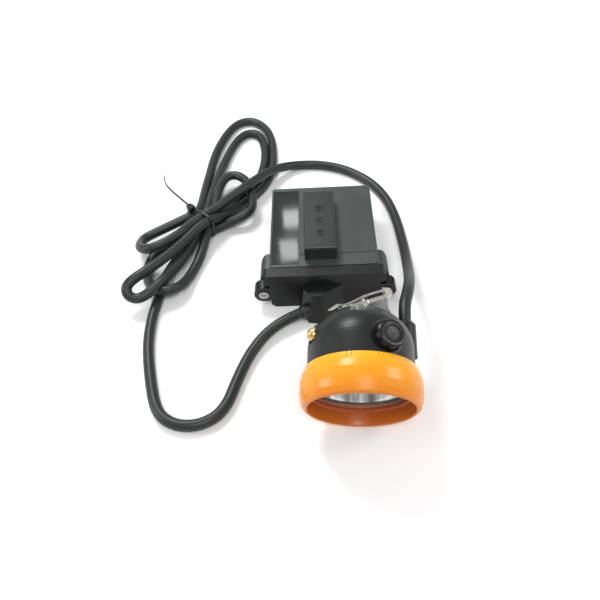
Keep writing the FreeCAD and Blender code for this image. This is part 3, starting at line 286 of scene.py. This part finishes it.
CORD_ROUTE = [
    # out of the battery's lid, round to the waist of the hank
    (-16.74, -60.74, 7), (-26.98, -65.74, 7), (-40, -75, 5), (-50, -90), (-57, -109), (-63.4, -133.3),
    (-76.3, -143.4), (-92.7, -143.8), (-106, -134.2), (-114, -108), (-120, -81), (-121, -56),
    # the lowest layer of the hank
    (-119, -39), (-119, -28), (-117, -17), (-113, -5), (-109, 6, 4), (-103, 18, 4.6), (-96, 26, 4.9),
    (-88, 30, 4.9), (-79, 35, 5.5), (-70, 38, 8), (-60, 41, 10.5), (-55, 49, 10.9), (-56, 63, 10.9),
    (-60, 80, 10.9), (-65, 89, 10.9), (-72, 94, 10.9), (-79, 92, 10.9), (-83, 83, 10.9), (-85, 72, 11),
    (-85, 63, 11.2), (-86, 45, 11.3), (-88, 30, 11.3), (-90, 17, 9.5), (-92, 6, 6), (-95, -6, 3.8),
    (-99, -20, 4.5), (-102, -31, 8), (-108, -38, 10.9), (-116, -39, 10.9), (-124, -32, 8),
    (-130, -21, 4.5), (-132, -8), (-131, 2), (-126, 12), (-117, 19, 4), (-107, 28, 4.6), (-99, 37, 4.9),
    (-89, 46, 4.9), (-80, 56, 4.6), (-70, 68, 4), (-60, 80), (-53, 94), (-49, 110), (-48, 132),
    (-50, 148), (-53, 160), (-60, 168), (-68, 167), (-75, 157), (-80, 142), (-84, 124), (-87, 103, 5),
    # the middle layer
    (-89, 82, 8), (-90, 62, 10.5), (-92, 46, 11.3), (-94, 30, 11.3), (-98, 14, 11.3), (-103, -2, 11.2),
    (-109, -17, 11.2), (-115, -33, 15), (-122, -42, 14), (-130, -47, 12), (-137, -46, 14),
    (-139, -41, 18), (-134, -36, 21), (-126, -29, 21.5), (-117, -17, 20), (-109, -5, 18.8),
    (-102, 7, 18), (-95, 19, 17.9), (-88, 28, 17.5), (-80, 37, 13), (-72, 49, 8), (-63, 64, 4.2),
    (-53, 76), (-45, 91), (-41, 110), (-41, 133), (-43, 155), (-48, 172), (-57, 185), (-67, 190),
    (-78, 184), (-86, 168), (-92, 146), (-95, 126), (-96, 108), (-97, 90, 5), (-97, 68, 8),
    (-97, 50, 11.3), (-101, 43, 11.5), (-108, 39, 11), (-118, 34, 9.5), (-128, 29, 8), (-137, 24, 7),
    # the top layer
    (-140, 17, 8.5), (-138, 4, 14), (-130, -4, 19), (-121, -2, 20.5), (-113, 5, 20), (-106, 14, 18.8),
    (-101, 24, 18), (-95, 31, 17.9), (-89, 36, 18), (-82, 42, 18), (-76, 50, 18), (-67, 60, 18),
    (-59, 70, 18), (-50, 82, 16), (-44, 93, 13), (-33, 106, 8), (-18, 114, 4),
    # round behind the battery and up to the lamp head
    (2, 113), (23, 104), (42, 86), (53.5, 63), (58.4, 38), (60, 14, 4.6), (60, -7, 8),
    (59, -25, 13.8), (57.4, -41, 21.5), (55.4, -54.5, 30), (53.2, -66.5, 37.5), (50.4, -78.2, 42.6),
    (46.69, -90.29, 44.32), (46.13, -100.83, 41.59),
]


def spline_curve(name, points, diameter):
    """One open NURBS spline through the given control points, in millimetres."""
    curve = bpy.data.curves.new(name, "CURVE")
    curve.dimensions = "3D"
    spline = curve.splines.new("NURBS")
    spline.points.add(len(points) - 1)
    for control, point in zip(spline.points, points):
        height = point[2] if len(point) == 3 else REST
        control.co = (point[0] * MM, point[1] * MM, height * MM, 1)
    spline.order_u = 3
    spline.use_endpoint_u = True
    spline.resolution_u = 8
    curve.bevel_depth = diameter / 2 * MM
    curve.bevel_resolution = 6
    curve.use_fill_caps = True
    return curve


def centreline(points):
    """Points along the smooth line of a route."""
    bare = spline_curve("bare", points, 0)
    bare.use_fill_caps = False
    probe = bpy.data.objects.new("probe", bare)
    bpy.context.scene.collection.objects.link(probe)
    bpy.context.view_layer.update()
    mesh = bpy.data.meshes.new_from_object(probe)
    line = [vertex.co.copy() for vertex in mesh.vertices]
    bpy.data.objects.remove(probe)
    bpy.data.meshes.remove(mesh)
    bpy.data.curves.remove(bare)
    return line


cord = keep("cord", spline_curve("cord", CORD_ROUTE, CORD_DIAMETER), "cord_rubber")
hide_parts("cord_lower", "cord_upper", "cord_hank")
CORD_LINE = centreline(CORD_ROUTE)

TIE_PLACE = Vector((-93.5, 34, 0)) * MM
TIE_HEADING = math.radians(50)
TIE_WIDTH = 2.8 * MM
TIE_BAND = 1.1 * MM
TIE_REACH = 30 * MM  # strands further than this from the tie's middle are not inside it
TIE_POINTS = 160
TIE_TAPER = 0.9  # width of the strap's outer face as a share of its inner face
TEETH_DIP = 0.86  # every other point of the strap is this share of its full thickness
ON_TABLE = 0.6 * MM  # up to this height the strap is drawn flat
LEAST_SLANT = 0.6  # limits how wide a strand that crosses at a slant is taken to be
STRAND_SIDES = 24
LOCK_PLACE = (0, 11.6, 19.8)
LOCK_HALF = (2.5, 2.9, 2.2)
LOCK_CHAMFER = 0.7
LOCK_RECESS = 1.2
TAIL_HALF_HEIGHT = 1.3
TAIL_HALF_THICKNESS = 0.45
TIP_HEIGHT = 0.35  # the tail's height at its tip, as a share of its full height
RIB_DIP = 0.82  # every other point of the tail is this share of its full thickness


def tie_section():
    """Places where the cord's strands pass through the plane of the tie, across it and up."""
    along = Vector((math.cos(TIE_HEADING), math.sin(TIE_HEADING), 0))
    across = Vector((-along.y, along.x, 0))
    found = []
    for a, b in zip(CORD_LINE, CORD_LINE[1:]):
        before = (a - TIE_PLACE).dot(along)
        after = (b - TIE_PLACE).dot(along)
        if before * after <= 0 and before != after and (a - TIE_PLACE).length < TIE_REACH:
            middle = a.lerp(b, before / (before - after)) - TIE_PLACE
            slant = abs((b - a).normalized().dot(along))
            found.append((middle.dot(across), middle.z, slant))
    return along, across, found


def hull(points):
    """Convex outline of points in a plane, anticlockwise."""
    ordered = sorted(points)

    def half(run):
        chain = []
        for p in run:
            while len(chain) > 1 and ((chain[-1][0] - chain[-2][0]) * (p[1] - chain[-2][1])
                                      - (chain[-1][1] - chain[-2][1]) * (p[0] - chain[-2][0])) <= 0:
                chain.pop()
            chain.append(p)
        return chain[:-1]

    return half(ordered) + half(ordered[::-1])


def resample(loop, count):
    """Points at equal steps round a closed outline."""
    ends = loop[1:] + loop[:1]
    steps = [math.dist(a, b) for a, b in zip(loop, ends)]
    total = sum(steps)
    result = []
    for index in range(count):
        left = total * index / count
        for a, b, step in zip(loop, ends, steps):
            if left <= step:
                share = left / step if step else 0
                result.append((a[0] + (b[0] - a[0]) * share, a[1] + (b[1] - a[1]) * share))
                break
            left -= step
    return result


def strap_ring(bm):
    """Band round the strands, with fine teeth on its outer face."""
    along, across, found = tie_section()
    radius = CORD_DIAMETER / 2 * MM
    cloud = []
    for y, z, slant in found:
        for step in range(STRAND_SIDES):
            turn = step * math.tau / STRAND_SIDES
            wide = radius / max(slant, LEAST_SLANT)
            cloud.append((y + math.cos(turn) * wide, max(0.0, z + math.sin(turn) * radius)))
    loop = resample(hull(cloud), TIE_POINTS)
    count = len(loop)
    rings = []
    for index, (y, z) in enumerate(loop):
        before = loop[index - 3]
        after = loop[(index + 3) % count]
        out = Vector((after[1] - before[1], -(after[0] - before[0]))).normalized()
        band = TIE_BAND * (1.0 if index % 2 else TEETH_DIP)
        if z <= ON_TABLE:
            out = Vector((0, 0))
        base = TIE_PLACE + across * y + Vector((0, 0, max(z, 0.0001)))
        lift = across * out.x + Vector((0, 0, out.y))
        half = along * (TIE_WIDTH / 2)
        rings.append([bm.verts.new(base + half), bm.verts.new(base - half),
                      bm.verts.new(base - half * TIE_TAPER + lift * band),
                      bm.verts.new(base + half * TIE_TAPER + lift * band)])
    for a, b in zip(rings, rings[1:] + rings[:1]):
        for i in range(4):
            j = (i + 1) % 4
            bm.faces.new((a[i], a[j], b[j], b[i]))


def tie_lock(bm):
    """Lock block of the tie, with chamfered corners and a recess in its top."""
    turn = Matrix.Rotation(TIE_HEADING, 4, "Z")
    place = Matrix.Translation(TIE_PLACE) @ turn @ Matrix.Translation(Vector(LOCK_PLACE) * MM)
    half = Vector(LOCK_HALF) * MM
    outline = []
    chamfer = LOCK_CHAMFER * MM
    for sx, sy in ((1, 1), (-1, 1), (-1, -1), (1, -1)):
        first = (sx * half.x, sy * (half.y - chamfer))
        second = (sx * (half.x - chamfer), sy * half.y)
        outline += [first, second] if sx == sy else [second, first]
    levels = ((-half.z, 0.86), (-half.z + chamfer, 1), (half.z - chamfer, 1), (half.z, 0.84),
              (half.z, 0.5), (half.z - LOCK_RECESS * MM, 0.46))
    rings = []
    for z, scale in levels:
        rings.append([bm.verts.new(place @ Vector((x * scale, y * scale, z))) for x, y in outline])
    for low, high in zip(rings, rings[1:]):
        for i in range(len(outline)):
            j = (i + 1) % len(outline)
            bm.faces.new((low[i], low[j], high[j], high[i]))
    bm.faces.new(rings[0][::-1])
    bm.faces.new(rings[-1])


TAIL_ROUTE = [(-101.8, 40.6, 20.3), (-107.4, 47.6, 20.4), (-115, 56.5, 20.3), (-122.5, 66, 20),
              (-126.8, 73, 19.7), (-129.3, 80, 19.4), (-130.2, 86, 19.2)]


def tie_tail(bm):
    """Uncut end of the strap: upright, finely ribbed, narrowing at its tip."""
    line = centreline(TAIL_ROUTE)
    corners = ((1, 0.8), (1, -0.8), (0.7, -1), (-0.7, -1), (-1, -0.8), (-1, 0.8), (-0.7, 1), (0.7, 1))
    rings = []
    for index, point in enumerate(line):
        ahead = line[min(index + 1, len(line) - 1)] - line[max(index - 1, 0)]
        side = Vector((-ahead.y, ahead.x, 0)).normalized()
        left = min(1.0, math.sqrt(max(0.0, (len(line) - 1 - index) / 3)))
        tall = TAIL_HALF_HEIGHT * MM * max(TIP_HEIGHT, left)
        thick = TAIL_HALF_THICKNESS * MM * (1.0 if index % 2 else RIB_DIP)
        places = [point + side * (a * thick) + Vector((0, 0, b * tall)) for a, b in corners]
        rings.append([bm.verts.new(place) for place in places])
    for a, b in zip(rings, rings[1:]):
        for i in range(len(corners)):
            j = (i + 1) % len(corners)
            bm.faces.new((a[i], a[j], b[j], b[i]))
    bm.faces.new(rings[0][::-1])
    bm.faces.new(rings[-1])


def whole_tie(bm):
    strap_ring(bm)
    tie_lock(bm)
    tie_tail(bm)


tie = keep("tie_strap", mesh_of(whole_tie, "tie_strap"), "tie_nylon")
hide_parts("cable_tie")

# ---------------------------------------------------------------- fluted reflector

REFLECTOR_MOUTH = 26.6
REFLECTOR_BASE = 4
REFLECTOR_DEPTH = 24
REFLECTOR_TOP = -13.5
FLUTES = 30
FLUTE_DEPTH = 0.45
CUP_WALL = 1.0
CUP_DROP = 0.2  # the outer skin lies this much further back than the inner face
CUP_LIP = 0.9
LIP_THICKNESS = 1.2


def fluted_cup(bm):
    """Parabolic cup with shallow flutes, its rolled mouth flange and its outer skin."""
    per_flute = 6
    around = FLUTES * per_flute
    rows = []
    steps = 26
    for step in range(steps + 1):
        share = step / steps
        radius = REFLECTOR_MOUTH + (REFLECTOR_BASE - REFLECTOR_MOUTH) * share
        sink = (REFLECTOR_MOUTH ** 2 - radius ** 2) / (REFLECTOR_MOUTH ** 2 - REFLECTOR_BASE ** 2)
        flute = FLUTE_DEPTH * min(1, 4 * share) * radius / REFLECTOR_MOUTH
        rows.append((radius, REFLECTOR_TOP - REFLECTOR_DEPTH * sink, flute))
    outer = [(radius + CUP_WALL, z - CUP_DROP, 0) for radius, z, depth in rows[::-1]]
    outer[-1] = (REFLECTOR_MOUTH + CUP_LIP, REFLECTOR_TOP - LIP_THICKNESS, 0)
    profile = [(REFLECTOR_MOUTH + CUP_LIP, REFLECTOR_TOP, 0)] + rows + outer
    rings = []
    for radius, z, depth in profile:
        ring = []
        for index in range(around):
            turn = math.tau * index / around
            reach = radius + abs(math.sin(turn * FLUTES / 2)) * depth - depth
            place = Vector((reach * math.cos(turn), reach * math.sin(turn), z))
            ring.append(bm.verts.new((HEAD @ place) * MM))
        rings.append(ring)
    for low, high in zip(rings, rings[1:] + rings[:1]):
        for i in range(around):
            j = (i + 1) % around
            bm.faces.new((low[i], low[j], high[j], high[i]))


cup = keep("reflector_cup", mesh_of(fluted_cup, "reflector_cup"), "reflector_chrome")
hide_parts("reflector")

# ---------------------------------------------------------------- floor, lights and camera

WORLD_STRENGTH = 0.55
CAMERA_PLACE = (-0.00242, -0.32777, 0.316755)
CAMERA_TURN = (41.956, 3.012, -0.231)  # degrees


def floor():
    """Plain pale sweep under and behind the part, in metres like the lamps and camera below."""
    bm = bmesh.new()
    rows = []
    for x in (-3, 3):
        row = []
        for y, z in ((-3, 0), (1.6, 0), (2.1, 0.12), (2.5, 0.45), (2.7, 1.0), (2.75, 2.6)):
            row.append(bm.verts.new((x, y, z)))
        rows.append(row)
    for i in range(len(rows[0]) - 1):
        bm.faces.new((rows[0][i], rows[0][i + 1], rows[1][i + 1], rows[1][i]))
    mesh = bpy.data.meshes.new("floor")
    bm.to_mesh(mesh)
    bm.free()
    mesh.shade_smooth()
    paper = Paint("floor_paint", (0.90, 0.90, 0.90), 0.7)
    paper.mottle(2, 0.01)
    mesh.materials.append(paper.material)
    piece = bpy.data.objects.new("floor", mesh)
    bpy.context.scene.collection.objects.link(piece)


def lamp(name, place, aim, size, power):
    """Area lamp at a place, turned towards another."""
    light = bpy.data.lights.new(name, "AREA")
    light.shape = "RECTANGLE"
    light.size, light.size_y = size
    light.energy = power
    holder = bpy.data.objects.new(name, light)
    bpy.context.scene.collection.objects.link(holder)
    holder.location = place
    holder.rotation_euler = (Vector(aim) - Vector(place)).to_track_quat("-Z", "Y").to_euler()


floor()
lamp("key", (-0.30, 0.45, 0.80), (0, -0.03, 0.02), (0.30, 0.22), 5)
lamp("front", (0.10, -0.60, 0.95), (0, -0.08, 0.03), (0.35, 0.25), 4)
lamp("left", (-0.80, -0.10, 0.40), (0, -0.05, 0.03), (0.20, 0.35), 2)
lamp("right", (0.80, -0.05, 0.55), (0, -0.05, 0.03), (0.20, 0.35), 2)
lamp("pane_far", (-0.055, 0.59, 0.52), (-0.022, 0.012, 0.035), (0.035, 0.035), 0.03)
lamp("pane_near", (-0.060, 0.50, 0.52), (-0.022, -0.018, 0.035), (0.035, 0.040), 0.03)
world = bpy.data.worlds.new("studio")
world.use_nodes = True
world.node_tree.nodes["Background"].inputs["Color"].default_value = (1, 1, 1, 1)
world.node_tree.nodes["Background"].inputs["Strength"].default_value = WORLD_STRENGTH
bpy.context.scene.world = world
bpy.context.scene.view_settings.view_transform = "Standard"

lens = bpy.data.cameras.new("camera")
lens.lens = 36
lens.sensor_width = 36
lens.clip_start = 0.01
camera = bpy.data.objects.new("camera", lens)
bpy.context.scene.collection.objects.link(camera)
camera.location = CAMERA_PLACE
camera.rotation_euler = [math.radians(a) for a in CAMERA_TURN]
bpy.context.scene.camera = camera
